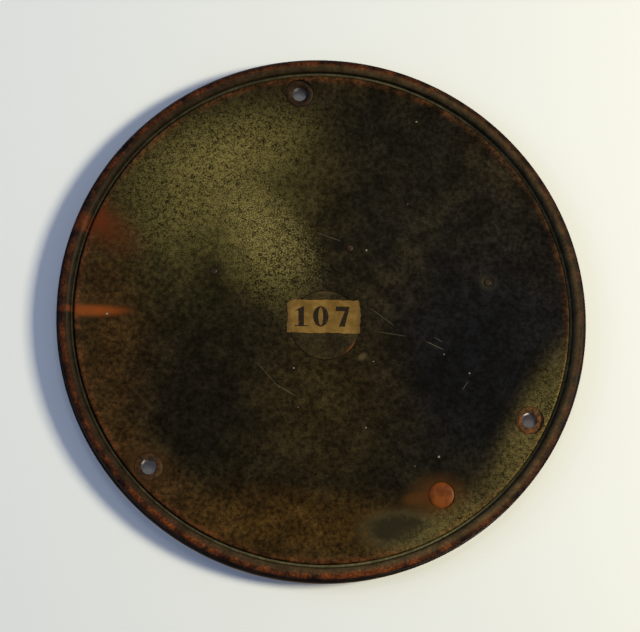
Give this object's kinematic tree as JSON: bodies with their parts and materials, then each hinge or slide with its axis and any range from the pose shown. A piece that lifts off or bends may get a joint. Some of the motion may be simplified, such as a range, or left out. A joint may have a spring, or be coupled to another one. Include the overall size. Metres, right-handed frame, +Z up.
{
  "type": "garden sundial",
  "caption": "Round horizontal garden sundial with a moulded rim, an engraved hour band, a pierced gnomon and fixing holes for a pedestal top.",
  "frame": {"origin": "on the plane the rim stands on, under the centre of the dial", "axes": "+Z up out of the dial face, +Y north along the noon line, the way the gnomon rises"},
  "size_m": [0.152, 0.152, 0.0502],
  "materials": {
    "dial_plate": "dark patinated bronze, glossy where rubbed",
    "rim_ring": "dark patinated bronze worn red on the bead",
    "fixing_bushes": "worn red-brown bronze",
    "centre_stud": "dark patinated bronze",
    "repair_plug": "rubbed copper",
    "small_rivets": "dull copper",
    "inventory_label": "aged printed paper",
    "gnomon_foot": "dark patinated bronze",
    "foot_screws": "dark brass",
    "gnomon_blade": "dark patinated bronze with worn edges",
    "gnomon_pins": "worn brass"
  },
  "bodies": {
    "root": {"dial_plate": "dial_plate", "rim_ring": "rim_ring", "fixing_bushes": "fixing_bushes", "centre_stud": "centre_stud", "repair_plug": "repair_plug", "small_rivets": "small_rivets", "inventory_label": "inventory_label", "gnomon_foot": "gnomon_foot", "foot_screws": "foot_screws", "gnomon_blade": "gnomon_blade", "gnomon_pins": "gnomon_pins"}
  },
  "joints": []
}
